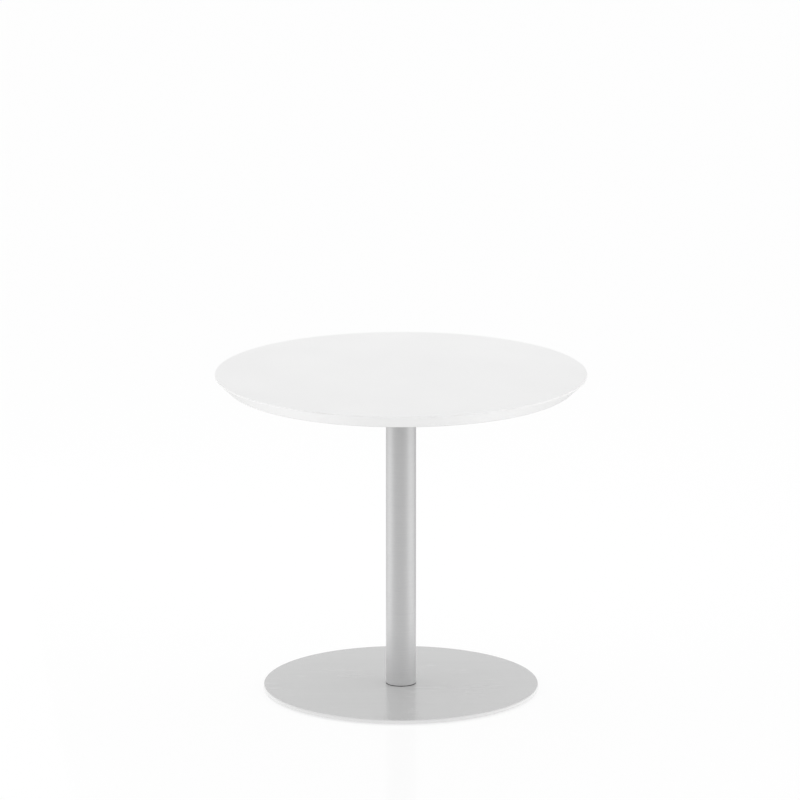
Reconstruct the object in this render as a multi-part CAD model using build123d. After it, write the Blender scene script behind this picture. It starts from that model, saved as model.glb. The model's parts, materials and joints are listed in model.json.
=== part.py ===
"""Round bistro table with a disc top, one column and a flat disc base.

Millimetres. The origin is on the floor under the column, +Z points up, and the table is round about Z.
"""

from build123d import *

import os

os.makedirs("parts", exist_ok=True)

# Overall sizes
TOP_DIAMETER = 800.0
TABLE_HEIGHT = 700.0
BASE_DIAMETER = 595.0

# Top: laminate face, fibreboard core with a reverse bevel, and a balancing sheet underneath
LAMINATE_THICKNESS = 1.0
LAMINATE_EDGE_ROUND = 0.5
CORE_THICKNESS = 28.0
CORE_UPRIGHT_EDGE = 2.0
BEVEL_INSET = 28.0
BEVEL_FOOT_ROUND = 2.0
BACKING_THICKNESS = 1.0

# Column
COLUMN_DIAMETER = 65.0
COLUMN_WALL = 1.5

# Head plate and the screws that hold the top on it
HEAD_PLATE_DIAMETER = 300.0
HEAD_PLATE_THICKNESS = 5.0
HEAD_PLATE_EDGE_CHAMFER = 1.0
HEAD_SCREW_COUNT = 8
HEAD_SCREW_FROM_EDGE = 25.0
HEAD_SCREW_DIAMETER = 6.0
HEAD_SCREW_LENGTH = 18.0
HEAD_SCREW_HEAD_DIAMETER = 10.5
HEAD_SCREW_HEAD_HEIGHT = 3.3
HEAD_SCREW_KEY = 4.0
HEAD_SCREW_KEY_DEPTH = 2.0
HEAD_WASHER_DIAMETER = 12.0
HEAD_WASHER_THICKNESS = 1.6
INSERT_DIAMETER = 10.0
INSERT_LENGTH = 14.0
INSERT_SET_BACK = 0.5
INSERT_TIP_SPACE = 1.0

# Plugs that centre the column on the head plate and on the base
HEAD_SPIGOT_LENGTH = 26.0
HEAD_NUT_POCKET_DIAMETER = 28.0
HEAD_NUT_POCKET_DEPTH = 12.0
FOOT_SPIGOT_LENGTH = 30.0

# Tie rod and its hardware
ROD_DIAMETER = 10.0
ROD_FLOOR_GAP = 2.0
ROD_PAST_NUT = 2.0
ROD_TIP_CHAMFER = 1.0
NUT_ACROSS_FLATS = 16.0
NUT_HEIGHT = 8.0
SPRING_WASHER_DIAMETER = 18.1
SPRING_WASHER_THICKNESS = 2.2
SPRING_WASHER_SLIT = 1.5
ROD_WASHER_DIAMETER = 20.0
ROD_WASHER_THICKNESS = 2.0

# Base: steel plate under a thin cover with its rim turned down
PLATE_THICKNESS = 6.0
COVER_THICKNESS = 1.2
COVER_RIM_ROUND = 1.8
COVER_PAST_PLATE = 0.5
GASKET_THICKNESS = 1.2
BASE_SCREW_COUNT = 4
BASE_SCREW_FROM_SPIGOT_EDGE = 11.0
BASE_SCREW_DIAMETER = 8.0
BASE_SCREW_LENGTH = 25.0
BASE_SCREW_HEAD_DIAMETER = 16.0
BASE_SCREW_KEY = 5.0
BASE_SCREW_KEY_DEPTH = 3.0
BASE_SCREW_TIP_SPACE = 2.0

# Levelling glides: a foot that slides down and a stud that turns in the plate
GLIDE_COUNT = 4
GLIDE_FROM_BASE_EDGE = 42.5
GLIDE_FIRST_ANGLE = 45.0
GLIDE_DIAMETER = 24.0
GLIDE_THICKNESS = 2.5
GLIDE_EDGE_ROUND = 0.6
GLIDE_HOME_GAP = 0.2
GLIDE_SOLE_WALL = 0.9
GLIDE_LIP_HEIGHT = 0.5
GLIDE_KEY_HOLE_DIAMETER = 6.0
STUD_DIAMETER = 8.0
STUD_BUTTON_DIAMETER = 12.0
STUD_TOP_GAP = 0.3
STUD_KEY = 4.0
STUD_KEY_DEPTH = 3.0

# Clearances
RUNNING_CLEARANCE = 0.06
THREAD_CLEARANCE = 0.05
SLIP_CLEARANCE = 0.1
HEAD_SCREW_HOLE_CLEARANCE = 0.3
BASE_SCREW_HOLE_CLEARANCE = 0.5
ROD_HOLE_CLEARANCE = 0.5
WASHER_HOLE_CLEARANCE = 0.25
PLATE_IN_COVER_CLEARANCE = 0.3

# Heights, from the floor up
plate_low = GLIDE_THICKNESS + GLIDE_HOME_GAP
plate_high = plate_low + PLATE_THICKNESS
cover_high = plate_high + COVER_THICKNESS
cover_low = plate_low - COVER_PAST_PLATE
column_low = cover_high + GASKET_THICKNESS
core_high = TABLE_HEIGHT - LAMINATE_THICKNESS
core_low = core_high - CORE_THICKNESS
backing_low = core_low - BACKING_THICKNESS
column_high = backing_low - HEAD_PLATE_THICKNESS
head_washer_low = column_high - HEAD_WASHER_THICKNESS
nut_pocket_low = column_high - HEAD_NUT_POCKET_DEPTH
spring_washer_low = nut_pocket_low + ROD_WASHER_THICKNESS
nut_low = spring_washer_low + SPRING_WASHER_THICKNESS
insert_low = backing_low + INSERT_SET_BACK

# Radii that other pieces are fitted to
top_radius = TOP_DIAMETER / 2
underside_radius = top_radius - BEVEL_INSET
column_radius = COLUMN_DIAMETER / 2
spigot_radius = column_radius - COLUMN_WALL - SLIP_CLEARANCE
cover_radius = BASE_DIAMETER / 2
plate_radius = cover_radius - COVER_THICKNESS - PLATE_IN_COVER_CLEARANCE
insert_hole_radius = INSERT_DIAMETER / 2 + THREAD_CLEARANCE

# Circles of holes and fasteners
head_screw_circle_radius = HEAD_PLATE_DIAMETER / 2 - HEAD_SCREW_FROM_EDGE
head_screw_places = PolarLocations(head_screw_circle_radius, HEAD_SCREW_COUNT, 180 / HEAD_SCREW_COUNT)
base_screw_places = PolarLocations(spigot_radius - BASE_SCREW_FROM_SPIGOT_EDGE, BASE_SCREW_COUNT)
glide_places = PolarLocations(cover_radius - GLIDE_FROM_BASE_EDGE, GLIDE_COUNT, GLIDE_FIRST_ANGLE)


def disc(diameter, low, high):
    """A solid cylinder about Z between two heights."""
    return Pos(0, 0, low) * Cylinder(diameter / 2, high - low, align=(Align.CENTER, Align.CENTER, Align.MIN))


def ring(outer_diameter, inner_diameter, low, high):
    """A flat ring or a tube about Z between two heights."""
    return disc(outer_diameter, low, high) - disc(inner_diameter, low, high)


def hex_bar(across_flats, low, high):
    """A hexagonal bar about Z between two heights."""
    outline = RegularPolygon(across_flats / 2, 6, major_radius=False)
    return Pos(0, 0, low) * extrude(outline, high - low)


def turned(*points):
    """A solid of revolution about Z whose half section has these (radius, height) corners."""
    section = make_face(Polyline(*points, close=True))
    return revolve(Plane.XZ * section, Axis.Z)


def at_places(places, shape):
    """Copies of a shape, one at each place of a circle."""
    return [place * shape for place in places]


def save(name, shape):
    """Writes a node; a list of separate solids becomes one node."""
    if isinstance(shape, list):
        shape = Compound(children=shape)
    export_step(shape, f"parts/{name}.step")


# Table top
def make_top_laminate():
    sheet = disc(TOP_DIAMETER, core_high, TABLE_HEIGHT)
    return fillet(sheet.edges().group_by(Axis.Z)[-1], LAMINATE_EDGE_ROUND)


def insert_holes(low, high):
    return at_places(head_screw_places, disc(2 * insert_hole_radius, low, high))


def make_top_core():
    board = turned(
        (0, core_low),
        (underside_radius, core_low),
        (top_radius, core_high - CORE_UPRIGHT_EDGE),
        (top_radius, core_high),
        (0, core_high),
    )
    board = fillet(board.edges().group_by(Axis.Z)[0], BEVEL_FOOT_ROUND)
    return board - insert_holes(core_low, insert_low + INSERT_LENGTH + INSERT_TIP_SPACE)


def make_backing_laminate():
    sheet = disc(2 * (underside_radius - BEVEL_FOOT_ROUND), backing_low, core_low)
    return sheet - insert_holes(backing_low, core_low)


def make_threaded_inserts():
    bore = HEAD_SCREW_DIAMETER + 2 * THREAD_CLEARANCE
    insert = ring(INSERT_DIAMETER, bore, insert_low, insert_low + INSERT_LENGTH)
    return at_places(head_screw_places, insert)


# Head of the column
def make_head_plate():
    plate = disc(HEAD_PLATE_DIAMETER, column_high, backing_low)
    plate = chamfer(plate.edges().group_by(Axis.Z)[0], HEAD_PLATE_EDGE_CHAMFER)
    screw_hole = disc(HEAD_SCREW_DIAMETER + 2 * HEAD_SCREW_HOLE_CLEARANCE, column_high, backing_low)
    plate -= disc(HEAD_NUT_POCKET_DIAMETER, column_high, backing_low)
    return plate - at_places(head_screw_places, screw_hole)


def make_head_plate_screws():
    head_low = head_washer_low - HEAD_SCREW_HEAD_HEIGHT
    head = disc(HEAD_SCREW_HEAD_DIAMETER, head_low, head_washer_low)
    head = fillet(head.edges().group_by(Axis.Z)[0], HEAD_SCREW_HEAD_HEIGHT / 2)
    screw = head + disc(HEAD_SCREW_DIAMETER, head_washer_low, head_washer_low + HEAD_SCREW_LENGTH)
    screw -= hex_bar(HEAD_SCREW_KEY, head_low, head_low + HEAD_SCREW_KEY_DEPTH)
    return at_places(head_screw_places, screw)


def make_head_plate_washers():
    bore = HEAD_SCREW_DIAMETER + 2 * WASHER_HOLE_CLEARANCE
    washer = ring(HEAD_WASHER_DIAMETER, bore, head_washer_low, column_high)
    return at_places(head_screw_places, washer)


def make_head_spigot():
    plug = disc(2 * spigot_radius, column_high - HEAD_SPIGOT_LENGTH, column_high)
    plug -= disc(HEAD_NUT_POCKET_DIAMETER, nut_pocket_low, column_high)
    return plug - disc(ROD_DIAMETER + 2 * ROD_HOLE_CLEARANCE, column_high - HEAD_SPIGOT_LENGTH, nut_pocket_low)


# Tie rod and the hardware on its upper end
def make_tie_rod():
    rod = disc(ROD_DIAMETER, cover_high + ROD_FLOOR_GAP, nut_low + NUT_HEIGHT + ROD_PAST_NUT)
    return chamfer(rod.edges().filter_by(GeomType.CIRCLE), ROD_TIP_CHAMFER)


def make_rod_nut():
    nut = hex_bar(NUT_ACROSS_FLATS, nut_low, nut_low + NUT_HEIGHT)
    return nut - disc(ROD_DIAMETER + 2 * THREAD_CLEARANCE, nut_low, nut_low + NUT_HEIGHT)


def make_rod_spring_washer():
    bore = ROD_DIAMETER + 2 * WASHER_HOLE_CLEARANCE
    washer = ring(SPRING_WASHER_DIAMETER, bore, spring_washer_low, nut_low)
    slit_place = Pos(SPRING_WASHER_DIAMETER / 2, 0, (spring_washer_low + nut_low) / 2)
    return washer - slit_place * Box(SPRING_WASHER_DIAMETER, SPRING_WASHER_SLIT, SPRING_WASHER_THICKNESS)


def make_rod_washer():
    bore = ROD_DIAMETER + 2 * WASHER_HOLE_CLEARANCE
    return ring(ROD_WASHER_DIAMETER, bore, nut_pocket_low, spring_washer_low)


# Column and its foot
def make_column_tube():
    return ring(COLUMN_DIAMETER, COLUMN_DIAMETER - 2 * COLUMN_WALL, column_low, column_high)


def make_foot_gasket():
    return ring(COLUMN_DIAMETER, COLUMN_DIAMETER - 2 * COLUMN_WALL, cover_high, column_low)


def make_foot_spigot():
    high = cover_high + FOOT_SPIGOT_LENGTH
    plug = disc(2 * spigot_radius, cover_high, high)
    plug -= disc(ROD_DIAMETER + 2 * THREAD_CLEARANCE, cover_high, high)
    screw_tip = plate_low + BASE_SCREW_LENGTH
    hole = disc(BASE_SCREW_DIAMETER + 2 * THREAD_CLEARANCE, cover_high, screw_tip + BASE_SCREW_TIP_SPACE)
    return plug - at_places(base_screw_places, hole)


# Base
def make_base_cover():
    shell = disc(BASE_DIAMETER, cover_low, cover_high)
    shell = fillet(shell.edges().group_by(Axis.Z)[-1], COVER_RIM_ROUND)
    hollow = disc(BASE_DIAMETER - 2 * COVER_THICKNESS, cover_low, plate_high)
    hollow = fillet(hollow.edges().group_by(Axis.Z)[-1], COVER_RIM_ROUND - COVER_THICKNESS)
    screw_hole = disc(BASE_SCREW_DIAMETER + 2 * BASE_SCREW_HOLE_CLEARANCE, plate_high, cover_high)
    return shell - hollow - at_places(base_screw_places, screw_hole)


def make_ballast_plate():
    plate = disc(2 * plate_radius, plate_low, plate_high)
    plate = chamfer(plate.edges().group_by(Axis.Z)[-1], COVER_RIM_ROUND - COVER_THICKNESS)
    sink_radius = BASE_SCREW_HEAD_DIAMETER / 2 + SLIP_CLEARANCE
    hole_radius = BASE_SCREW_DIAMETER / 2 + BASE_SCREW_HOLE_CLEARANCE
    countersunk_hole = turned(
        (0, plate_low),
        (sink_radius, plate_low),
        (hole_radius, plate_low + sink_radius - hole_radius),
        (hole_radius, plate_high),
        (0, plate_high),
    )
    stud_hole = disc(STUD_DIAMETER + 2 * RUNNING_CLEARANCE, plate_low, plate_high)
    return plate - at_places(base_screw_places, countersunk_hole) - at_places(glide_places, stud_hole)


def make_base_screws():
    head_radius = BASE_SCREW_HEAD_DIAMETER / 2
    shank_radius = BASE_SCREW_DIAMETER / 2
    screw = turned(
        (0, plate_low),
        (head_radius, plate_low),
        (shank_radius, plate_low + head_radius - shank_radius),
        (shank_radius, plate_low + BASE_SCREW_LENGTH),
        (0, plate_low + BASE_SCREW_LENGTH),
    )
    screw -= hex_bar(BASE_SCREW_KEY, plate_low, plate_low + BASE_SCREW_KEY_DEPTH)
    return at_places(base_screw_places, screw)


# Levelling glides
def make_glide_foot():
    foot = disc(GLIDE_DIAMETER, 0, GLIDE_THICKNESS)
    foot = fillet(foot.edges().group_by(Axis.Z)[0], GLIDE_EDGE_ROUND)
    foot -= disc(GLIDE_KEY_HOLE_DIAMETER, 0, GLIDE_SOLE_WALL)
    lip_low = GLIDE_THICKNESS - GLIDE_LIP_HEIGHT
    foot -= disc(STUD_BUTTON_DIAMETER + 2 * RUNNING_CLEARANCE, GLIDE_SOLE_WALL, lip_low)
    return foot - disc(STUD_DIAMETER + 2 * RUNNING_CLEARANCE, lip_low, GLIDE_THICKNESS)


def make_glide_stud():
    button_low = GLIDE_SOLE_WALL + RUNNING_CLEARANCE
    button_high = GLIDE_THICKNESS - GLIDE_LIP_HEIGHT - RUNNING_CLEARANCE
    stud = disc(STUD_BUTTON_DIAMETER, button_low, button_high)
    stud += disc(STUD_DIAMETER, button_high, plate_high - STUD_TOP_GAP)
    return stud - hex_bar(STUD_KEY, button_low, button_low + STUD_KEY_DEPTH)


save("top_laminate", make_top_laminate())
save("top_core", make_top_core())
save("backing_laminate", make_backing_laminate())
save("threaded_inserts", make_threaded_inserts())
save("head_plate", make_head_plate())
save("head_plate_screws", make_head_plate_screws())
save("head_plate_washers", make_head_plate_washers())
save("head_spigot", make_head_spigot())
save("tie_rod", make_tie_rod())
save("rod_nut", make_rod_nut())
save("rod_spring_washer", make_rod_spring_washer())
save("rod_washer", make_rod_washer())
save("column_tube", make_column_tube())
save("foot_gasket", make_foot_gasket())
save("foot_spigot", make_foot_spigot())
save("base_cover", make_base_cover())
save("ballast_plate", make_ballast_plate())
save("base_screws", make_base_screws())
for number, place in enumerate(glide_places, start=1):
    save(f"glide_foot_{number}", place * make_glide_foot())
    save(f"glide_stud_{number}", place * make_glide_stud())
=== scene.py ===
"""Looks of the round bistro table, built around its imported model.

Metres. The floor is z = 0, the column stands on the Z axis and -Y is the front.
"""

import json
import math

import bpy
import numpy as np
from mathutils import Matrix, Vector


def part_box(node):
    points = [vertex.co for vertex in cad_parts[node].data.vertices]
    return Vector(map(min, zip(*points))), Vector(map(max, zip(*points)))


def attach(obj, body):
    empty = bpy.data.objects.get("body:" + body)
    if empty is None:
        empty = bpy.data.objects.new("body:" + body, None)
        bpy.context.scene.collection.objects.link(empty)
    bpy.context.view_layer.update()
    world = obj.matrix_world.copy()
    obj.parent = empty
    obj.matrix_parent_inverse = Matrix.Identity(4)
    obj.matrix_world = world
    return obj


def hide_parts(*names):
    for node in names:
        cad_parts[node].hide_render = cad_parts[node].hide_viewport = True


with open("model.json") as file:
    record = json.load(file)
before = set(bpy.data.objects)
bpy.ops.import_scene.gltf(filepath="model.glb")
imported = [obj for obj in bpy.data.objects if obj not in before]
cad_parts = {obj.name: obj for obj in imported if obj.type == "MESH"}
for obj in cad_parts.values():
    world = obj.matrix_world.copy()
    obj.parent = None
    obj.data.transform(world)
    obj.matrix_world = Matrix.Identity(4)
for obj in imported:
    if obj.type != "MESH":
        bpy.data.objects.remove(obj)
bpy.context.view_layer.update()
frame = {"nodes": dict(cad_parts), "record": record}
scene = bpy.context.scene

MM = 0.001
TURN = 2 * math.pi

# Points of an arc and of a dome or bulge, and segments round the Z axis by size of piece
ROUND_STEPS = 7
DOME_STEPS = 9
DISC_SEGMENTS = 512
TUBE_SEGMENTS = 192
FOOT_SEGMENTS = 96
SCREW_SEGMENTS = 48
ROD_SEGMENTS = 32
THREAD_ROWS_PER_PITCH = 8

# Edge rounding and fine shape of the pieces
FINE_EDGE = 0.12 * MM
TOP_EDGE_ROUND = 0.5 * MM
BOARD_UPRIGHT_EDGE = 2 * MM
BOARD_BEVEL_INSET = 28 * MM
BOARD_SHOULDER_ROUND = 0.8 * MM
BOARD_FOOT_ROUND = 2 * MM
COLUMN_WALL = 1.5 * MM
COLUMN_END_ROUND = 0.35 * MM
SKIN_THICKNESS = 1.2 * MM
SKIN_RIM_ROUND = 1.8 * MM
SEAL_BULGE = 0.35 * MM

# Fasteners. Shares are of a key's or a nut's inner radius, but the chamfer's is its share of hexagon.
# The point is the drilled tip in a socket's floor
SOCKET_POINT_SHARE = 0.25
SOCKET_RIM_SHARE = 1.3
HEAD_CROWN_SHARE = 1.35
HEAD_SCREW_COUNT = 8
HEAD_SCREW_HEAD_RADIUS = 5.25 * MM
HEAD_SCREW_HEAD_HEIGHT = 3.3 * MM
HEAD_SCREW_SHANK_RADIUS = 3 * MM
HEAD_SCREW_KEY = 4 * MM
HEAD_SCREW_KEY_DEPTH = 2 * MM
HEAD_WASHER_RADIUS = 6 * MM
HEAD_WASHER_BORE_RADIUS = 3.25 * MM
BASE_SCREW_COUNT = 4
BASE_SCREW_HEAD_RADIUS = 8 * MM
BASE_SCREW_SHANK_RADIUS = 4 * MM
BASE_SCREW_KEY = 5 * MM
BASE_SCREW_KEY_DEPTH = 3 * MM
ROD_PITCH = 1.5 * MM
ROD_THREAD_LENGTH = 40 * MM
NUT_BORE_RADIUS = 5.05 * MM
NUT_CHAMFER = 1.2 * MM
NUT_FACE_SHARE = 0.95
NUT_CHAMFER_HEXAGON_SHARE = 0.6

# Levelling glides. The neck's share is of the stud's radius
GLIDE_COUNT = 4
GLIDE_EDGE_ROUND = 0.6 * MM
GLIDE_SOLE_WALL = 0.9 * MM
GLIDE_LIP_HEIGHT = 0.5 * MM
GLIDE_POCKET_RADIUS = 6.06 * MM
GLIDE_LIP_RADIUS = 4.06 * MM
GLIDE_KEY_HOLE_RADIUS = 3 * MM
STUD_RADIUS = 4 * MM
STUD_BUTTON_RADIUS = 6 * MM
STUD_BUTTON_HEIGHT = 0.98 * MM
STUD_PITCH = 1.25 * MM
STUD_KEY = 4 * MM
STUD_KEY_DEPTH = 3 * MM
STUD_NECK_SHARE = 1.02
THREAD_SHARE_OF_PITCH = 0.5

# Studio. A glow or radiance of 1 is full white, and what is added for one kind of ray is added to the glow
ROOM_DIRECTION = (-0.139, -0.990, 0)
FLOOR_REACH = 60.0
FLOOR_GLOW = 1.03
FLOOR_ADDED_FOR_MATT = 0.05
FLOOR_ADDED_FOR_EYE = 0.025
FLOOR_ADDED_BESIDE = 0.25
FLOOR_DIMMED_TO_ROOM = 0.5
FLOOR_DIMMING_STARTS = 0.2
FLOOR_DIMMING_FULL = 0.9
FLOOR_MATT_SHARE = 0.2
FLOOR_MIRROR_SHARE = 0.09
WORLD_GLOSS_OVERHEAD = 1.0
WORLD_GLOSS_LEVEL = 0.7
WORLD_MATT = 0.71
WORLD_MATT_ADDED_AT_SIDES = 1.1
WORLD_BACKDROP = 1.05

# Camera
CAMERA_DISTANCE = 14.0
CAMERA_SIDE = -0.0022
CAMERA_HEIGHT = 3.974
CAMERA_PITCH = math.radians(13.392)
CAMERA_LENS = 301.0
CAMERA_SENSOR = 36.0
CAMERA_FAR_CLIP = 100


# ---------------------------------------------------------------- surfaces


def rounded(*corners):
    """A profile with rounded corners, from (radius, height) or (radius, height, rounding) corners.

    A corner with a rounding becomes an arc tangent to both of its sides: its centre lies on the corner's
    bisector, at rounding / sin(half the corner's angle). One more point stands half a rounding before the arc
    and one after it, so that smooth shading stays inside the rounding.
    """
    profile = [np.array(corners[0][:2], float)]
    for before, corner, after in zip(corners, corners[1:], corners[2:]):
        point = np.array(corner[:2], float)
        if len(corner) == 2:
            profile.append(point)
            continue
        to_before = np.array(before[:2], float) - point
        to_after = np.array(after[:2], float) - point
        to_before /= np.linalg.norm(to_before)
        to_after /= np.linalg.norm(to_after)
        half = math.acos(np.clip(to_before @ to_after, -1, 1)) / 2
        reach = corner[2] / math.tan(half)
        bisector = to_before + to_after
        centre = point + bisector / np.linalg.norm(bisector) * corner[2] / math.sin(half)
        first = point + to_before * reach - centre
        last = point + to_after * reach - centre
        sweep = math.pi - 2 * half
        share = np.linspace(0, 1, ROUND_STEPS)[:, None]
        arc = (np.sin((1 - share) * sweep) * first + np.sin(share * sweep) * last) / math.sin(sweep)
        support = corner[2] / 2
        profile.append(point + to_before * (reach + support))
        profile.extend(centre + arc)
        profile.append(point + to_after * (reach + support))
    profile.append(np.array(corners[-1][:2], float))
    return np.array(profile)


def hexagon(angle):
    """Distance to a hexagon's side over its inner radius: 1 / cos of the angle from the nearest flat."""
    return 1 / np.cos((angle + TURN / 12) % (TURN / 6) - TURN / 12)


def turned_grid(profile, segments, six_sided=None, offset=None):
    """Points of a surface of revolution about Z: (r cos a, r sin a, z) for each profile row and each angle a.

    six_sided gives each row a share from 0, round, to 1, a hexagon of the same inner radius.
    offset(angle, height) is added to the radius, for threads.
    """
    angle = TURN * np.arange(segments) / segments
    radius = np.repeat(profile[:, :1], segments, axis=1)
    if six_sided is not None:
        radius = radius * (1 + np.asarray(six_sided)[:, None] * (hexagon(angle)[None, :] - 1))
    if offset is not None:
        radius = radius + offset(angle[None, :], profile[:, 1:])
    height = np.repeat(profile[:, 1:], segments, axis=1)
    return np.stack([radius * np.cos(angle), radius * np.sin(angle), height], axis=-1)


def grid_faces(rows, segments, loop):
    """Quads of a grid that wraps round Z, and also round its profile when it is a loop."""
    row = np.arange(rows if loop else rows - 1)[:, None]
    column = np.arange(segments)[None, :]
    above = (row + 1) % rows
    beside = (column + 1) % segments
    corners = [(row, column), (row, beside), (above, beside), (above, column)]
    quads = [r * segments + c for r, c in corners]
    return np.stack(np.broadcast_arrays(*quads), axis=-1).reshape(-1, 4)


def make_mesh(name, points, quads, triangles, uv_of=None):
    """A smooth-shaded mesh object at the origin, from arrays of points, quads and triangles."""
    mesh = bpy.data.meshes.new(name)
    mesh.vertices.add(len(points))
    mesh.vertices.foreach_set("co", points.astype(np.float32).ravel())
    corners = np.concatenate([quads.ravel(), triangles.ravel()]).astype(np.int32)
    sizes = np.concatenate([np.full(len(quads), 4), np.full(len(triangles), 3)])
    starts = np.concatenate([[0], np.cumsum(sizes)[:-1]]).astype(np.int32)
    mesh.loops.add(len(corners))
    mesh.loops.foreach_set("vertex_index", corners)
    mesh.polygons.add(len(sizes))
    mesh.polygons.foreach_set("loop_start", starts)
    mesh.polygons.foreach_set("use_smooth", np.ones(len(sizes), bool))
    mesh.update(calc_edges=True)
    if uv_of is not None:
        layer = mesh.uv_layers.new(name="across_brushing")
        layer.data.foreach_set("uv", uv_of(points[corners]).astype(np.float32).ravel())
    mesh.validate()
    piece = bpy.data.objects.new(name, mesh)
    scene.collection.objects.link(piece)
    return piece


def pole_fans(rows, segments):
    """Triangles from the first and last rows to their poles, two points that come after the grid's."""
    first_pole = rows * segments
    last_pole = first_pole + 1
    here = np.arange(segments)
    beside = (here + 1) % segments
    last_row = (rows - 1) * segments
    first_fan = np.stack([np.full(segments, first_pole), beside, here], axis=-1)
    last_fan = np.stack([np.full(segments, last_pole), last_row + here, last_row + beside], axis=-1)
    return np.concatenate([first_fan, last_fan])


def turned_piece(
    name, profile, segments, loop=False, six_sided=None, offset=None, places=((0, 0),), uv_of=None
):
    """A closed surface of revolution, copied to each (x, y) place.

    The profile runs along the underside outwards, up the outside and back along the top. A loop closes on
    itself, as on a tube; otherwise the first and last profile points lie on the axis and become poles.
    """
    if loop:
        points = turned_grid(profile, segments, six_sided, offset).reshape(-1, 3)
        quads = grid_faces(len(profile), segments, loop)
        triangles = np.zeros((0, 3), int)
    else:
        inner = profile[1:-1]
        shares = None if six_sided is None else six_sided[1:-1]
        poles = np.array([[0, 0, profile[0, 1]], [0, 0, profile[-1, 1]]])
        points = np.concatenate([turned_grid(inner, segments, shares, offset).reshape(-1, 3), poles])
        quads = grid_faces(len(inner), segments, loop)
        triangles = pole_fans(len(inner), segments)
    move = np.array([[x, y, 0] for x, y in places])
    shift = len(points) * np.arange(len(places))[:, None, None]
    points = (points[None] + move[:, None]).reshape(-1, 3)
    quads = (quads[None] + shift).reshape(-1, 4)
    triangles = (triangles[None] + shift).reshape(-1, 3)
    return make_mesh(name, points, quads, triangles, uv_of)


def circle_places(radius, count, first_angle):
    """(x, y) of evenly spaced places on a circle about Z."""
    angles = [first_angle + TURN * i / count for i in range(count)]
    return [(radius * math.cos(angle), radius * math.sin(angle)) for angle in angles]


def thread(pitch, low, high):
    """Radius change of a right-hand thread: -depth times a triangle wave of (height / pitch - turns)."""
    depth = THREAD_SHARE_OF_PITCH * pitch

    def offset(angle, height):
        wave = np.abs(((height / pitch - angle / TURN) % 1) * 2 - 1)
        inside = np.clip((height - low) / pitch, 0, 1) * np.clip((high - height) / pitch, 0, 1)
        return -depth * wave * inside

    return offset


def heights(low, high, step):
    """Evenly spaced heights from low to high, about one step apart."""
    return np.linspace(low, high, max(2, round((high - low) / step) + 1))


# ---------------------------------------------------------------- node helpers


def put(tree, kind, sockets=None, **settings):
    """A node of a kind with its settings. A socket's value is either another node's output or a constant."""
    node = tree.nodes.new(kind)
    for key, value in settings.items():
        setattr(node, key, value)
    for key, value in (sockets or {}).items():
        if isinstance(value, bpy.types.NodeSocket):
            tree.links.new(value, node.inputs[key])
        else:
            node.inputs[key].default_value = value
    return node


def maths(tree, operation, *values):
    return put(tree, "ShaderNodeMath", dict(enumerate(values)), operation=operation).outputs[0]


def vector_maths(tree, operation, *values, output="Vector"):
    return put(tree, "ShaderNodeVectorMath", dict(enumerate(values)), operation=operation).outputs[output]


def remap(tree, value, low, high, to_low, to_high):
    sockets = {"Value": value, "From Min": low, "From Max": high, "To Min": to_low, "To Max": to_high}
    return put(tree, "ShaderNodeMapRange", sockets, interpolation_type="SMOOTHSTEP").outputs[0]


def noise(tree, vector, scale, detail=2.0, roughness=0.5):
    sockets = {"Vector": vector, "Scale": scale, "Detail": detail, "Roughness": roughness}
    return put(tree, "ShaderNodeTexNoise", sockets).outputs["Fac"]


def stretch(tree, vector, scale):
    return put(tree, "ShaderNodeMapping", {"Vector": vector, "Scale": scale}).outputs[0]


def mix_colour(tree, share, first, second):
    """Colour mix. A mix node's colour sockets are its inputs 6 and 7 and its output 2."""
    return put(tree, "ShaderNodeMix", {0: share, 6: first, 7: second}, data_type="RGBA").outputs[2]


def mix_shader(tree, share, first, second):
    return put(tree, "ShaderNodeMixShader", {0: share, 1: first.outputs[0], 2: second.outputs[0]})


def grey(level):
    return (level, level, level, 1)


def new_group(name, inputs, outputs):
    """An empty shader node group with float or vector inputs and float outputs."""
    group = bpy.data.node_groups.new(name, "ShaderNodeTree")
    for label, kind, value in inputs:
        socket = group.interface.new_socket(label, in_out="INPUT", socket_type=kind)
        if value is not None:
            socket.default_value = value
    for label in outputs:
        group.interface.new_socket(label, in_out="OUTPUT", socket_type="NodeSocketFloat")
    return group, group.nodes.new("NodeGroupInput").outputs, group.nodes.new("NodeGroupOutput").inputs


def use_group(tree, group, sockets):
    return put(tree, "ShaderNodeGroup", sockets, node_tree=group).outputs


FLOAT = "NodeSocketFloat"
VECTOR = "NodeSocketVector"


def make_brushing_group():
    """Brush lines: three noises stretched along the lines, from hair-thin to broad, added by weight.

    The vector comes in with its lines along X, in metres.
    """
    inputs = [("Vector", VECTOR, None), ("Line Width", FLOAT, 0.0005), ("Line Length", FLOAT, 0.08)]
    group, given, out = new_group("brushing", inputs, ["Lines"])
    across = maths(group, "DIVIDE", 1.0, given["Line Width"])
    along = maths(group, "DIVIDE", 1.0, given["Line Length"])
    scale = put(group, "ShaderNodeCombineXYZ", {"X": along, "Y": across, "Z": across}).outputs[0]
    lines = vector_maths(group, "MULTIPLY", given["Vector"], scale)
    fine = noise(group, lines, 1.0, 3.0, 0.7)
    medium = noise(group, lines, 0.23, 2.0, 0.6)
    broad = noise(group, lines, 0.045, 2.0, 0.5)
    total = maths(group, "ADD", maths(group, "MULTIPLY", fine, 0.55), maths(group, "MULTIPLY", medium, 0.35))
    total = maths(group, "ADD", total, maths(group, "MULTIPLY", broad, 0.1))
    group.links.new(total, out["Lines"])
    return group


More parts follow.
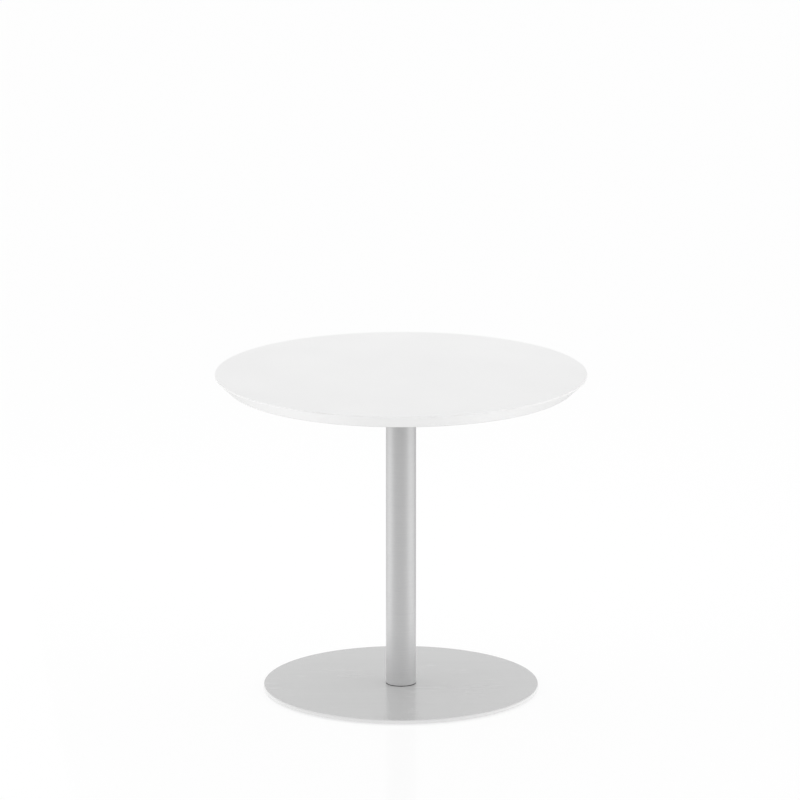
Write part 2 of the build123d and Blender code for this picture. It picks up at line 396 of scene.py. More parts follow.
def make_grain_group():
    """Fine grain and slow mottling: one noise at the grain's size and one at the mottling's size."""
    inputs = [("Vector", VECTOR, None), ("Grain Size", FLOAT, 0.0006), ("Mottle Size", FLOAT, 0.06)]
    group, given, out = new_group("grain", inputs, ["Grain", "Mottle"])
    fine = noise(group, given["Vector"], maths(group, "DIVIDE", 1.0, given["Grain Size"]), 2.0, 0.55)
    slow = noise(group, given["Vector"], maths(group, "DIVIDE", 1.0, given["Mottle Size"]), 3.0, 0.5)
    group.links.new(fine, out["Grain"])
    group.links.new(slow, out["Mottle"])
    return group


# Rim paints a lighter ring on brushed steel, a painted highlight. Wear marks real rubbed edges.
def make_rim_wear_and_highlight_group():
    """A round edge about Z: Rim is 1 at a radius and fades over a width. Wear is Rim broken up by noise."""
    inputs = [("Vector", VECTOR, None), ("Radius", FLOAT, 0.4), ("Width", FLOAT, 0.002)]
    group, given, out = new_group("rim_wear_and_highlight", inputs, ["Rim", "Wear"])
    flat = vector_maths(group, "MULTIPLY", given["Vector"], (1, 1, 0))
    radius = vector_maths(group, "LENGTH", flat, output="Value")
    distance = maths(group, "ABSOLUTE", maths(group, "SUBTRACT", given["Radius"], radius))
    share = maths(group, "DIVIDE", distance, given["Width"])
    near = remap(group, share, 0.0, 1.0, 1.0, 0.0)
    patches = remap(group, noise(group, given["Vector"], 35.0, 5.0, 0.65), 0.42, 0.72, 0.0, 1.0)
    group.links.new(near, out["Rim"])
    group.links.new(maths(group, "MULTIPLY", near, patches), out["Wear"])
    return group


def make_scratches_group():
    """Sparse hairline scratches: the thin bands where a stretched, bent noise crosses its middle value."""
    inputs = [("Vector", VECTOR, None), ("Amount", FLOAT, 0.3)]
    group, given, out = new_group("scratches", inputs, ["Scratches"])
    bend = noise(group, given["Vector"], 3.0, 1.0, 0.5)

    def hairlines(turn):
        sockets = {"Vector": given["Vector"], "Rotation": (0, 0, turn), "Scale": (4, 70, 70)}
        turned = put(group, "ShaderNodeMapping", sockets).outputs[0]
        field = noise(group, vector_maths(group, "ADD", turned, bend), 1.0, 1.0, 0.4)
        distance = maths(group, "ABSOLUTE", maths(group, "SUBTRACT", field, 0.5))
        return remap(group, distance, 0.0, 0.004, 1.0, 0.0)

    lines = maths(group, "MAXIMUM", hairlines(0.4), hairlines(1.7))
    lines = maths(group, "MAXIMUM", lines, hairlines(2.6))
    gaps = remap(group, noise(group, given["Vector"], 14.0, 3.0, 0.6), 0.5, 0.7, 0.0, 1.0)
    broken = maths(group, "MULTIPLY", lines, gaps)
    group.links.new(maths(group, "MULTIPLY", broken, given["Amount"]), out["Scratches"])
    return group


BRUSHING = make_brushing_group()
GRAIN = make_grain_group()
RIM_WEAR_AND_HIGHLIGHT = make_rim_wear_and_highlight_group()
SCRATCHES = make_scratches_group()


def new_material(name, **constants):
    """A material with its Principled shader, whose constants are set on the shader's own sockets."""
    material = bpy.data.materials.new(name)
    material.use_nodes = True
    tree = material.node_tree
    tree.nodes.clear()
    shader = tree.nodes.new("ShaderNodeBsdfPrincipled")
    output = tree.nodes.new("ShaderNodeOutputMaterial")
    tree.links.new(shader.outputs[0], output.inputs["Surface"])
    for key, value in constants.items():
        shader.inputs[key.replace("_", " ")].default_value = value
    place = put(tree, "ShaderNodeTexCoord").outputs["Object"]
    return material, tree, shader, place


def set_look(tree, shader, colour=None, roughness=None, height=None, bump_distance=0.0001, bump_strength=1.0):
    """Links a colour, a roughness and a bump height to the shader."""
    if colour is not None:
        tree.links.new(colour, shader.inputs["Base Color"])
    if roughness is not None:
        tree.links.new(roughness, shader.inputs["Roughness"])
    if height is not None:
        sockets = {"Height": height, "Distance": bump_distance, "Strength": bump_strength}
        bump = put(tree, "ShaderNodeBump", sockets)
        tree.links.new(bump.outputs[0], shader.inputs["Normal"])


# ---------------------------------------------------------------- materials


def make_white_laminate(edge_radius):
    """Satin white laminate with a fine pebbled texture, faint mottling and a few hairline scratches."""
    material, tree, shader, place = new_material("white_laminate", Specular_IOR_Level=0.45)
    grain = use_group(tree, GRAIN, {"Vector": place, "Grain Size": 0.0007, "Mottle Size": 0.11})
    wear = use_group(tree, RIM_WEAR_AND_HIGHLIGHT, {"Vector": place, "Radius": edge_radius, "Width": 0.0025})["Wear"]
    marks = use_group(tree, SCRATCHES, {"Vector": place, "Amount": 0.5})["Scratches"]
    tone = mix_colour(tree, grain["Mottle"], (0.885, 0.885, 0.885, 1), (0.905, 0.905, 0.903, 1))
    tone = mix_colour(tree, maths(tree, "MULTIPLY", wear, 0.25), tone, (0.80, 0.79, 0.77, 1))
    rough = remap(tree, grain["Mottle"], 0.3, 0.7, 0.36, 0.44)
    rough = maths(tree, "SUBTRACT", rough, maths(tree, "MULTIPLY", marks, 0.1))
    height = maths(tree, "SUBTRACT", grain["Grain"], maths(tree, "MULTIPLY", marks, 0.6))
    set_look(tree, shader, tone, rough, height, 0.00002, 0.6)
    return material


def make_white_lacquer(edge_radius):
    """Sprayed white lacquer on fibreboard: smooth with faint orange peel and a rubbed edge."""
    material, tree, shader, place = new_material("white_lacquer", Specular_IOR_Level=0.5)
    grain = use_group(tree, GRAIN, {"Vector": place, "Grain Size": 0.0022, "Mottle Size": 0.05})
    wear = use_group(tree, RIM_WEAR_AND_HIGHLIGHT, {"Vector": place, "Radius": edge_radius, "Width": 0.0015})["Wear"]
    tone = mix_colour(tree, grain["Mottle"], (0.875, 0.875, 0.873, 1), (0.895, 0.895, 0.892, 1))
    tone = mix_colour(tree, maths(tree, "MULTIPLY", wear, 0.3), tone, (0.76, 0.75, 0.72, 1))
    rough = remap(tree, grain["Mottle"], 0.3, 0.7, 0.3, 0.38)
    set_look(tree, shader, tone, rough, grain["Grain"], 0.00003, 0.5)
    return material


def make_balancing_sheet():
    """Matt backing laminate: off-white with faint sanded lines."""
    material, tree, shader, place = new_material("balancing_sheet", Specular_IOR_Level=0.3)
    lines = use_group(tree, BRUSHING, {"Vector": place, "Line Width": 0.0012, "Line Length": 0.05})["Lines"]
    grain = use_group(tree, GRAIN, {"Vector": place, "Grain Size": 0.0009, "Mottle Size": 0.08})
    tone = mix_colour(tree, grain["Mottle"], (0.70, 0.70, 0.68, 1), (0.76, 0.76, 0.74, 1))
    tone = mix_colour(tree, maths(tree, "MULTIPLY", lines, 0.12), tone, grey(0.6))
    set_look(tree, shader, tone, remap(tree, lines, 0.3, 0.7, 0.5, 0.62), grain["Grain"], 0.00003, 0.5)
    return material


def make_brushed_steel(name, along_x, tones, roughnesses, metallic, anisotropic, edge_radius):
    """Satin brushed stainless steel. A metallic share under 1 scatters part of the light evenly.

    Bare steel is fully metallic: the lower share is fitted to the look in this studio, and is not measured.
    The lines run along X, or else around Z as on a polished tube. The tangent lies across them. Where the
    lines are high, the tone is the second and the roughness the first. At the edge radius a rim is painted a
    lighter grey, a painted highlight, and is made a little smoother.
    """
    material, tree, shader, place = new_material(
        name, Metallic=metallic, Anisotropic=anisotropic, Specular_IOR_Level=0.25
    )
    if along_x:
        brushing = {"Vector": place, "Line Width": 0.0004, "Line Length": 0.16}
    else:
        around = stretch(tree, place, (0.02, 0.02, 1.0))
        brushing = {"Vector": around, "Line Width": 0.00025, "Line Length": 0.00025}
    lines = use_group(tree, BRUSHING, brushing)["Lines"]
    grain = use_group(tree, GRAIN, {"Vector": place, "Grain Size": 0.004, "Mottle Size": 0.12})
    # Painted highlight: this rim mask paints a ring at the edge radius a lighter grey, and lowers the
    # roughness there.
    painted_rim_highlight = use_group(tree, RIM_WEAR_AND_HIGHLIGHT, {"Vector": place, "Radius": edge_radius, "Width": 0.0022})["Rim"]
    tone = mix_colour(tree, remap(tree, lines, 0.32, 0.68, 0.0, 1.0), *tones)
    tone = mix_colour(tree, painted_rim_highlight, tone, grey(0.78))
    smear = remap(tree, grain["Mottle"], 0.35, 0.7, 0.0, 0.03)
    rough_low, rough_high = roughnesses
    rough = maths(tree, "ADD", remap(tree, lines, 0.3, 0.7, rough_high, rough_low), smear)
    rough = maths(tree, "SUBTRACT", rough, maths(tree, "MULTIPLY", painted_rim_highlight, 0.06))
    set_look(tree, shader, tone, rough, lines, 0.00001, 0.35)
    tangent = put(tree, "ShaderNodeTangent", direction_type="UV_MAP", uv_map="across_brushing")
    tree.links.new(tangent.outputs[0], shader.inputs["Tangent"])
    return material


def make_powder_coat(name, dark, light, pebble, rough):
    """Powder coat or sprayed paint: a pebbled skin in a dark colour with dusty high spots."""
    material, tree, shader, place = new_material(name, Specular_IOR_Level=0.5)
    grain = use_group(tree, GRAIN, {"Vector": place, "Grain Size": pebble, "Mottle Size": 0.05})
    marks = use_group(tree, SCRATCHES, {"Vector": place, "Amount": 0.5})["Scratches"]
    tone = mix_colour(tree, remap(tree, grain["Grain"], 0.35, 0.75, 0.0, 1.0), dark, light)
    tone = mix_colour(tree, marks, tone, grey(0.16))
    roughness = remap(tree, grain["Mottle"], 0.3, 0.7, rough - 0.02, rough + 0.03)
    set_look(tree, shader, tone, roughness, grain["Grain"], 0.0001, 0.6)
    return material


def make_plated_steel():
    """Bright zinc plating: blue-grey metal with a fine crystalline bloom and faint yellow patches."""
    material, tree, shader, place = new_material("zinc_plating", Metallic=1.0)
    grain = use_group(tree, GRAIN, {"Vector": place, "Grain Size": 0.0005, "Mottle Size": 0.006})
    tone = mix_colour(tree, grain["Mottle"], (0.50, 0.53, 0.57, 1), (0.68, 0.68, 0.66, 1))
    rough = remap(tree, grain["Grain"], 0.3, 0.7, 0.26, 0.42)
    set_look(tree, shader, tone, rough, grain["Grain"], 0.00002, 0.5)
    return material


def make_turned_steel():
    """Lathe-turned steel: level tool marks around Z, and a sheen that varies as with a trace of oil."""
    material, tree, shader, place = new_material("turned_steel", Metallic=1.0)
    around = stretch(tree, place, (0.03, 0.03, 1.0))
    brushing = {"Vector": around, "Line Width": 0.0006, "Line Length": 0.0006}
    lines = use_group(tree, BRUSHING, brushing)["Lines"]
    grain = use_group(tree, GRAIN, {"Vector": place, "Grain Size": 0.002, "Mottle Size": 0.02})
    tone = mix_colour(tree, lines, (0.30, 0.30, 0.31, 1), (0.55, 0.55, 0.56, 1))
    rough = remap(tree, grain["Mottle"], 0.3, 0.7, 0.25, 0.38)
    set_look(tree, shader, tone, rough, lines, 0.00004, 0.5)
    return material


def make_moulded(name, dark, light, size, rough):
    """Moulded nylon or rubber: dark, faintly mottled, with scuffs that catch dust."""
    material, tree, shader, place = new_material(name, Specular_IOR_Level=0.4)
    grain = use_group(tree, GRAIN, {"Vector": place, "Grain Size": size, "Mottle Size": 0.012})
    marks = use_group(tree, SCRATCHES, {"Vector": place, "Amount": 0.6})["Scratches"]
    tone = mix_colour(tree, grain["Mottle"], dark, light)
    tone = mix_colour(tree, marks, tone, grey(0.2))
    roughness = remap(tree, grain["Grain"], 0.3, 0.7, rough - 0.06, rough + 0.08)
    set_look(tree, shader, tone, roughness, grain["Grain"], 0.00006, 0.5)
    return material


# ---------------------------------------------------------------- pieces


def across_x(points):
    """UV for lines along X: U runs along Y."""
    return points[:, [1, 0]]


def across_turns(points):
    """UV for lines around Z: U runs up Z, and V is the angle."""
    return np.stack([points[:, 2], np.arctan2(points[:, 1], points[:, 0]) / TURN], axis=-1)


def finish_piece(piece, material, slot, body, *nodes):
    """Gives a piece its material and its body, and hides the CAD nodes that it stands for."""
    piece.data.materials.clear()
    piece.data.materials.append(material)
    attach(piece, body)
    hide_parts(*nodes)


def make_tabletop_face(material):
    """A thin flat disc with a softly rounded upper edge."""
    low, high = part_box("top_laminate")
    radius = high.x
    profile = rounded(
        (0, low.z),
        (radius / 2, low.z),
        (radius, low.z, FINE_EDGE),
        (radius, high.z, TOP_EDGE_ROUND),
        (radius * 0.75, high.z),
        (radius * 0.5, high.z),
        (radius * 0.25, high.z),
        (0, high.z),
    )
    piece = turned_piece("tabletop_face", profile, DISC_SEGMENTS)
    finish_piece(piece, material, "white_laminate", "table", "top_laminate")


def make_tabletop_board(material):
    """A disc with a short upright edge, from which the reverse bevel runs in to the underside."""
    low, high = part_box("top_core")
    radius = high.x
    profile = rounded(
        (0, low.z),
        (radius / 2, low.z),
        (radius - BOARD_BEVEL_INSET, low.z, BOARD_FOOT_ROUND),
        (radius, high.z - BOARD_UPRIGHT_EDGE, BOARD_SHOULDER_ROUND),
        (radius, high.z, FINE_EDGE),
        (radius / 2, high.z),
        (0, high.z),
    )
    piece = turned_piece("tabletop_board", profile, DISC_SEGMENTS)
    finish_piece(piece, material, "white_lacquered_board", "table", "top_core")


def make_column(material):
    """A straight tube with rounded ends."""
    low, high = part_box("column_tube")
    outer = high.x
    inner = outer - COLUMN_WALL
    middle = (low.z + high.z) / 2
    profile = rounded(
        (inner, middle),
        (inner, low.z, COLUMN_END_ROUND),
        (outer, low.z, COLUMN_END_ROUND),
        (outer, middle),
        (outer, high.z, COLUMN_END_ROUND),
        (inner, high.z, COLUMN_END_ROUND),
        (inner, middle + COLUMN_WALL),
    )
    piece = turned_piece("column", profile, TUBE_SEGMENTS, loop=True, uv_of=across_turns)
    finish_piece(piece, material, "brushed_stainless", "table", "column_tube")


def make_foot_seal(material):
    """A flat rubber ring whose outside bulges where the column presses on it.

    The bulge is a parabola: four times its depth times rise times (1 - rise), as rise goes from 0 to 1.
    """
    low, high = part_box("foot_gasket")
    outer = high.x
    inner = outer - COLUMN_WALL
    rise = np.linspace(0, 1, DOME_STEPS)
    bulge = outer + SEAL_BULGE * 4 * rise * (1 - rise)
    outside = np.stack([bulge, low.z + rise * (high.z - low.z)], axis=-1)
    profile = np.concatenate([[[inner, low.z]], outside, [[inner, high.z]]])
    piece = turned_piece("foot_seal", profile, TUBE_SEGMENTS, loop=True)
    finish_piece(piece, material, "black_rubber", "table", "foot_gasket")


def make_base_skin(material):
    """A thin disc with its rim turned down over the plate."""
    low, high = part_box("base_cover")
    outer = high.x
    inner = outer - SKIN_THICKNESS
    under = high.z - SKIN_THICKNESS
    profile = rounded(
        (0, under),
        (inner / 2, under),
        (inner, under, SKIN_RIM_ROUND - SKIN_THICKNESS),
        (inner, low.z, FINE_EDGE),
        (outer, low.z, FINE_EDGE),
        (outer, high.z, SKIN_RIM_ROUND),
        (outer * 0.75, high.z),
        (outer * 0.5, high.z),
        (outer * 0.25, high.z),
        (0, high.z),
    )
    piece = turned_piece("base_skin", profile, DISC_SEGMENTS, uv_of=across_x)
    finish_piece(piece, material, "brushed_stainless", "table", "base_cover")


def key_socket(key, mouth, depth):
    """Profile rows of a hexagonal key socket that opens downwards, from its floor's pole out to its mouth."""
    inner = key / 2
    floor = mouth + depth
    return [
        (0, floor + inner * SOCKET_POINT_SHARE),
        (inner - FINE_EDGE, floor),
        (inner, floor),
        (inner, mouth + FINE_EDGE),
        (inner + FINE_EDGE, mouth),
    ]


def hexagon_shares(socket, profile):
    """Shares of hexagon: 1 for the key socket's rows, which come first, and 0 for the rest of the profile."""
    return (np.arange(len(profile)) < len(socket)).astype(float)


def head_places(node_reach, piece_radius):
    """(x, y) of the head plate's fasteners, which start half a step off X and reach node_reach along X."""
    half_step = TURN / 2 / HEAD_SCREW_COUNT
    circle = (node_reach - piece_radius) / math.cos(half_step)
    return circle_places(circle, HEAD_SCREW_COUNT, half_step)


def make_head_screws(material):
    """Domed button-head screws with hexagonal key sockets, opening downwards.

    The dome is a quarter of an ellipse: radius by the sine and height by 1 - the cosine of a quarter turn.
    """
    low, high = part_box("head_plate_screws")
    socket = key_socket(HEAD_SCREW_KEY, low.z, HEAD_SCREW_KEY_DEPTH)
    rise = np.linspace(0, TURN / 4, DOME_STEPS)
    crown = HEAD_SCREW_KEY / 2 * HEAD_CROWN_SHARE
    dome_radius = crown + (HEAD_SCREW_HEAD_RADIUS - crown) * np.sin(rise)
    dome_height = low.z + HEAD_SCREW_HEAD_HEIGHT * (1 - np.cos(rise))
    shank_heights = heights(low.z + HEAD_SCREW_HEAD_HEIGHT, high.z, HEAD_SCREW_SHANK_RADIUS / 3)
    shank = [(HEAD_SCREW_SHANK_RADIUS, z) for z in shank_heights]
    profile = np.array([*socket, *zip(dome_radius, dome_height), *shank, (0, high.z)])
    shares = hexagon_shares(socket, profile)
    places = head_places(high.x, HEAD_SCREW_HEAD_RADIUS)
    piece = turned_piece("head_screws", profile, SCREW_SEGMENTS, six_sided=shares, places=places)
    finish_piece(piece, material, "zinc_plated_steel", "table", "head_plate_screws")


def make_head_washers(material):
    """Flat washers with broken edges."""
    low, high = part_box("head_plate_washers")
    middle = (low.z + high.z) / 2
    profile = rounded(
        (HEAD_WASHER_BORE_RADIUS, middle),
        (HEAD_WASHER_BORE_RADIUS, low.z, FINE_EDGE),
        (HEAD_WASHER_RADIUS, low.z, 2 * FINE_EDGE),
        (HEAD_WASHER_RADIUS, high.z, 2 * FINE_EDGE),
        (HEAD_WASHER_BORE_RADIUS, high.z, FINE_EDGE),
        (HEAD_WASHER_BORE_RADIUS, middle + FINE_EDGE),
    )
    places = head_places(high.x, HEAD_WASHER_RADIUS)
    piece = turned_piece("head_washers", profile, SCREW_SEGMENTS, loop=True, places=places)
    finish_piece(piece, material, "zinc_plated_steel", "table", "head_plate_washers")


def make_base_screws(material):
    """Countersunk screws with hexagonal key sockets, flush with the plate's underside."""
    low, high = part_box("base_screws")
    socket = key_socket(BASE_SCREW_KEY, low.z, BASE_SCREW_KEY_DEPTH)
    cone_top = low.z + BASE_SCREW_HEAD_RADIUS - BASE_SCREW_SHANK_RADIUS
    outside = rounded(
        (BASE_SCREW_KEY / 2 * SOCKET_RIM_SHARE, low.z),
        (BASE_SCREW_HEAD_RADIUS, low.z, FINE_EDGE),
        (BASE_SCREW_SHANK_RADIUS, cone_top, FINE_EDGE),
        (BASE_SCREW_SHANK_RADIUS, high.z, 5 * FINE_EDGE),
        (0, high.z),
    )
    profile = np.array([*socket, *outside])
    shares = hexagon_shares(socket, profile)
    places = circle_places(high.x - BASE_SCREW_HEAD_RADIUS, BASE_SCREW_COUNT, 0)
    piece = turned_piece("base_screws_flush", profile, SCREW_SEGMENTS, six_sided=shares, places=places)
    finish_piece(piece, material, "zinc_plated_steel", "table", "base_screws")


def make_tie_rod(material):
    """A plain rod with a right-hand thread cut on each end."""
    low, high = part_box("tie_rod")
    radius = high.x
    lower = heights(low.z, low.z + ROD_THREAD_LENGTH, ROD_PITCH / THREAD_ROWS_PER_PITCH)
    upper = heights(high.z - ROD_THREAD_LENGTH, high.z, ROD_PITCH / THREAD_ROWS_PER_PITCH)
    rows = np.concatenate([lower, upper])
    profile = np.array([(0, low.z), *((radius, z) for z in rows), (0, high.z)])
    below = thread(ROD_PITCH, low.z, lower[-1])
    above = thread(ROD_PITCH, upper[0], high.z)

    def offset(angle, height):
        return below(angle, height) + above(angle, height)

    piece = turned_piece("threaded_tie_rod", profile, ROD_SEGMENTS, offset=offset)
    finish_piece(piece, material, "zinc_plated_steel", "table", "tie_rod")


def make_rod_nut(material):
    """A hexagonal nut whose corners are turned round at both ends."""
    low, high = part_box("rod_nut")
    flat = high.y
    middle = (low.z + high.z) / 2
    rows = [
        (NUT_BORE_RADIUS, middle),
        (NUT_BORE_RADIUS, low.z + FINE_EDGE),
        (NUT_BORE_RADIUS + FINE_EDGE, low.z),
        (flat * NUT_FACE_SHARE, low.z),
        (flat, low.z + NUT_CHAMFER / 2),
        (flat, low.z + NUT_CHAMFER),
        (flat, high.z - NUT_CHAMFER),
        (flat, high.z - NUT_CHAMFER / 2),
        (flat * NUT_FACE_SHARE, high.z),
        (NUT_BORE_RADIUS + FINE_EDGE, high.z),
        (NUT_BORE_RADIUS, high.z - FINE_EDGE),
    ]
    chamfer = NUT_CHAMFER_HEXAGON_SHARE
    shares = [0, 0, 0, 0, chamfer, 1, 1, chamfer, 0, 0, 0]
    piece = turned_piece("hexagon_nut", np.array(rows), FOOT_SEGMENTS, loop=True, six_sided=shares)
    finish_piece(piece, material, "zinc_plated_steel", "table", "rod_nut")


def glide_place(number):
    """(x, y) of a glide's axis: the middle of its foot's box."""
    low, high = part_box(f"glide_foot_{number}")
    return ((low.x + high.x) / 2, (low.y + high.y) / 2)


def make_glide_foot(number, material):
    """One glide's foot: a low round pad with a key hole in its sole and a pocket for the stud's button."""
    node = f"glide_foot_{number}"
    low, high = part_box(node)
    radius = (high.x - low.x) / 2
    lip = high.z - GLIDE_LIP_HEIGHT
    profile = rounded(
        (GLIDE_KEY_HOLE_RADIUS, GLIDE_SOLE_WALL / 2),
        (GLIDE_KEY_HOLE_RADIUS, low.z, FINE_EDGE),
        (radius, low.z, GLIDE_EDGE_ROUND),
        (radius, high.z, GLIDE_EDGE_ROUND / 2),
        (GLIDE_LIP_RADIUS, high.z, FINE_EDGE),
        (GLIDE_LIP_RADIUS, lip),
        (GLIDE_POCKET_RADIUS, lip),
        (GLIDE_POCKET_RADIUS, GLIDE_SOLE_WALL),
        (GLIDE_KEY_HOLE_RADIUS, GLIDE_SOLE_WALL),
        (GLIDE_KEY_HOLE_RADIUS, GLIDE_SOLE_WALL * 0.75),
    )
    places = [glide_place(number)]
    foot = turned_piece(f"glide_pad_{number}", profile, FOOT_SEGMENTS, loop=True, places=places)
    finish_piece(foot, material, "black_nylon", node, node)


def make_glide_stud(number, material):
    """One glide's stud: a button with a hexagonal key socket, below a shank with a right-hand thread."""
    node = f"glide_stud_{number}"
    low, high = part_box(node)
    socket = key_socket(STUD_KEY, low.z, STUD_KEY_DEPTH)
    button_top = low.z + STUD_BUTTON_HEIGHT
    button = [
        (STUD_KEY / 2 * SOCKET_RIM_SHARE, low.z),
        (STUD_BUTTON_RADIUS - FINE_EDGE, low.z),
        (STUD_BUTTON_RADIUS, low.z + FINE_EDGE),
        (STUD_BUTTON_RADIUS, button_top - FINE_EDGE),
        (STUD_BUTTON_RADIUS - FINE_EDGE, button_top),
        (STUD_RADIUS * STUD_NECK_SHARE, button_top),
    ]
    shank = [(STUD_RADIUS, z) for z in heights(button_top, high.z, STUD_PITCH / THREAD_ROWS_PER_PITCH)]
    profile = np.array([*socket, *button, *shank, (0, high.z)])
    shares = hexagon_shares(socket, profile)
    cut = thread(STUD_PITCH, button_top, high.z)
    shank_start = len(socket) + len(button) - 1
    rows = np.arange(len(profile) - 2)[:, None]

    def offset(angle, height):
        on_shank = (height >= button_top) & (rows >= shank_start)
        return cut(angle, height) * on_shank

    places = [glide_place(number)]
    name = f"glide_screw_{number}"
    stud = turned_piece(name, profile, SCREW_SEGMENTS, six_sided=shares, offset=offset, places=places)
    finish_piece(stud, material, "zinc_plated_steel", node, node)


top_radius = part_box("top_laminate")[1].x
base_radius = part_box("base_cover")[1].x

white_laminate = make_white_laminate(top_radius)
white_lacquer = make_white_lacquer(top_radius)
balancing_sheet = make_balancing_sheet()
# The base and the column are the same stainless steel in two copies. The base's copy has lighter tones than
# the column's, fitted to how bright the base reads in this light: painted light. The line directions differ
# for real.
base_steel = make_brushed_steel(
    "brushed_base",
    along_x=True,
    tones=((0.71, 0.71, 0.715, 1), grey(0.78)),
    roughnesses=(0.2, 0.26),
    metallic=0.42,
    anisotropic=0.9,
    edge_radius=base_radius,
)
column_steel = make_brushed_steel(
    "brushed_column",
    along_x=False,
    tones=((0.61, 0.61, 0.615, 1), grey(0.66)),
    roughnesses=(0.28, 0.34),
    metallic=0.65,
    anisotropic=0.7,
    edge_radius=base_radius,
)
powder_coat = make_powder_coat(
    "black_powder_coat", (0.016, 0.016, 0.017, 1), (0.05, 0.05, 0.052, 1), 0.0011, 0.5
)
plate_paint = make_powder_coat("black_plate_paint", (0.02, 0.02, 0.021, 1), grey(0.045), 0.003, 0.62)
zinc = make_plated_steel()
turned_steel = make_turned_steel()
nylon = make_moulded("black_nylon", grey(0.018), (0.04, 0.04, 0.041, 1), 0.0004, 0.5)
rubber = make_moulded("black_rubber", grey(0.012), grey(0.03), 0.0003, 0.72)

make_tabletop_face(white_laminate)
make_tabletop_board(white_lacquer)
make_column(column_steel)
make_foot_seal(rubber)
make_base_skin(base_steel)
make_head_screws(zinc)
make_head_washers(zinc)
make_base_screws(zinc)
make_tie_rod(zinc)
make_rod_nut(zinc)
for number in range(1, GLIDE_COUNT + 1):
    make_glide_foot(number, nylon)
    make_glide_stud(number, zinc)

slot_materials = {
    "white_laminate": white_laminate,
    "white_lacquered_board": white_lacquer,
    "balancing_sheet": balancing_sheet,
    "brushed_stainless": column_steel,
    "black_powder_coat": powder_coat,
    "black_painted_plate": plate_paint,
    "turned_steel": turned_steel,
    "zinc_plated_steel": zinc,
    "black_rubber": rubber,
    "black_nylon": nylon,
}
for entry in frame["record"]["subparts"]:
    node = frame["nodes"][entry["node"]]
    node.data.materials.clear()
    node.data.materials.append(slot_materials[entry["material_slot"]])


# ---------------------------------------------------------------- stage, light and camera


def make_floor():
    """A pale glossy sweep: mostly its own even glow, part matt so that it takes soft shadows, part mirror.

    Seen from below it is clear. Matt surfaces and the eye get a little more of its glow than glossy surfaces
    do. Those see it dimmer in front and behind, where the sweep ends, and brighter at the sides.
    """
    signs = np.array([[-1, -1, 0], [1, -1, 0], [1, 1, 0], [-1, 1, 0]])
    floor = make_mesh("floor", FLOOR_REACH * signs, np.array([[0, 1, 2, 3]]), np.zeros((0, 3), int))
    material = bpy.data.materials.new("floor")
    material.use_nodes = True
    tree = material.node_tree
    tree.nodes.clear()
    place = put(tree, "ShaderNodeTexCoord").outputs["Object"]
    outwards = vector_maths(tree, "NORMALIZE", place)
    along = vector_maths(tree, "DOT_PRODUCT", outwards, ROOM_DIRECTION, output="Value")
    sector = remap(tree, maths(tree, "ABSOLUTE", along), 0.1, 1.0, 0.0, 1.0)
    away = vector_maths(tree, "LENGTH", place, output="Value")
    start = remap(tree, away, FLOOR_DIMMING_STARTS, FLOOR_DIMMING_FULL, 0.0, 1.0)
    dimmed = maths(tree, "MULTIPLY", maths(tree, "MULTIPLY", sector, start), FLOOR_DIMMED_TO_ROOM)
    beside = maths(tree, "MULTIPLY", maths(tree, "SUBTRACT", 1.0, sector), FLOOR_ADDED_BESIDE)
    paths = put(tree, "ShaderNodeLightPath").outputs
    for_gloss = maths(tree, "MULTIPLY", paths["Is Glossy Ray"], maths(tree, "SUBTRACT", beside, dimmed))
    for_matt = maths(tree, "MULTIPLY", paths["Is Diffuse Ray"], FLOOR_ADDED_FOR_MATT)
    for_eye = maths(tree, "MULTIPLY", paths["Is Camera Ray"], FLOOR_ADDED_FOR_EYE)
    added = maths(tree, "ADD", for_gloss, maths(tree, "ADD", for_matt, for_eye))
    strength = maths(tree, "ADD", FLOOR_GLOW, added)
    glow = put(tree, "ShaderNodeEmission", {"Color": grey(1), "Strength": strength})
    matt = put(tree, "ShaderNodeBsdfDiffuse", {"Color": grey(0.97)})
    mirror = put(tree, "ShaderNodeBsdfGlossy", {"Color": grey(1), "Roughness": 0.06})
    body = mix_shader(tree, FLOOR_MATT_SHARE, glow, matt)
    shiny = mix_shader(tree, FLOOR_MIRROR_SHARE, body, mirror)
    from_below = put(tree, "ShaderNodeNewGeometry").outputs["Backfacing"]
    whole = mix_shader(tree, from_below, shiny, put(tree, "ShaderNodeBsdfTransparent"))
    output = tree.nodes.new("ShaderNodeOutputMaterial")
    tree.links.new(whole.outputs[0], output.inputs["Surface"])
    floor.data.materials.append(material)


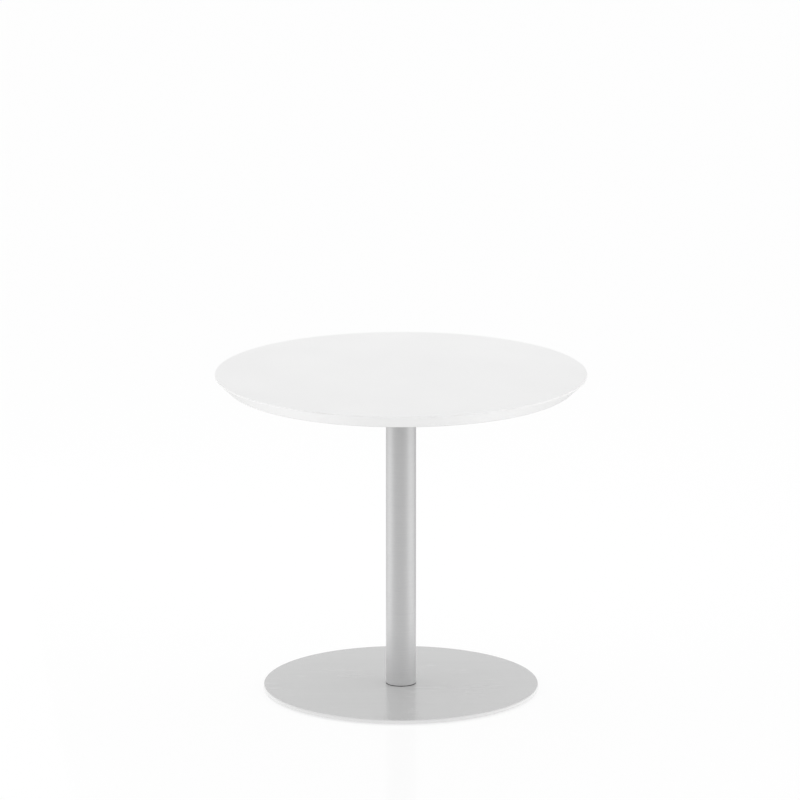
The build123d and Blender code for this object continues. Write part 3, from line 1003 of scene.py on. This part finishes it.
def make_surroundings():
    """Even studio white.

    Glossy surfaces see it dimmer low down all round, and matt ones see brighter sides.
    """
    world = bpy.data.worlds.new("studio")
    scene.world = world
    world.use_nodes = True
    tree = world.node_tree
    tree.nodes.clear()
    direction = put(tree, "ShaderNodeTexCoord").outputs["Generated"]

    def towards(axis):
        along = vector_maths(tree, "DOT_PRODUCT", direction, axis, output="Value")
        return remap(tree, along, 0.4, 1.0, 0.0, 1.0)

    sides = maths(tree, "ADD", towards((1, 0, 0)), towards((-1, 0, 0)))
    flat = vector_maths(tree, "MULTIPLY", direction, (1, 1, 0))
    level = vector_maths(tree, "LENGTH", flat, output="Value")
    for_gloss = remap(tree, level, 0.5, 1.0, WORLD_GLOSS_OVERHEAD, WORLD_GLOSS_LEVEL)
    for_matt = maths(tree, "ADD", WORLD_MATT, maths(tree, "MULTIPLY", sides, WORLD_MATT_ADDED_AT_SIDES))
    gloss = put(tree, "ShaderNodeBackground", {"Color": grey(1), "Strength": for_gloss})
    matt = put(tree, "ShaderNodeBackground", {"Color": grey(1), "Strength": for_matt})
    backdrop = put(tree, "ShaderNodeBackground", {"Color": grey(1), "Strength": WORLD_BACKDROP})
    paths = put(tree, "ShaderNodeLightPath").outputs
    lit = mix_shader(tree, paths["Is Diffuse Ray"], gloss, matt)
    whole = mix_shader(tree, paths["Is Camera Ray"], lit, backdrop)
    output = tree.nodes.new("ShaderNodeOutputWorld")
    tree.links.new(whole.outputs[0], output.inputs["Surface"])


def make_softbox(name, place, target, size, radiance):
    """A square area light of a given radiance, so its power is radiance times pi times its area."""
    data = bpy.data.lights.new(name, "AREA")
    data.shape = "SQUARE"
    data.size = size
    data.energy = radiance * math.pi * size * size
    light = bpy.data.objects.new(name, data)
    light.location = place
    light.rotation_euler = (Vector(target) - Vector(place)).to_track_quat("-Z", "Y").to_euler()
    light.visible_camera = False
    scene.collection.objects.link(light)


def make_camera():
    """A long lens at a distance, level from side to side and pitched down."""
    data = bpy.data.cameras.new("camera")
    data.lens = CAMERA_LENS
    data.sensor_width = CAMERA_SENSOR
    data.clip_end = CAMERA_FAR_CLIP
    camera = bpy.data.objects.new("camera", data)
    camera.location = (CAMERA_SIDE, -CAMERA_DISTANCE, CAMERA_HEIGHT)
    camera.rotation_euler = (TURN / 4 - CAMERA_PITCH, 0, 0)
    scene.collection.objects.link(camera)
    scene.camera = camera


make_floor()
make_surroundings()
make_softbox("overhead", (0, 1.2, 2.2), (0, 0, 0.7), 1.4, 0.7)
make_softbox("back_left_card", (-1.3, 1.6, 0.75), (0, 0, 0), 1.2, 0.08)
make_camera()
scene.view_settings.view_transform = "Standard"
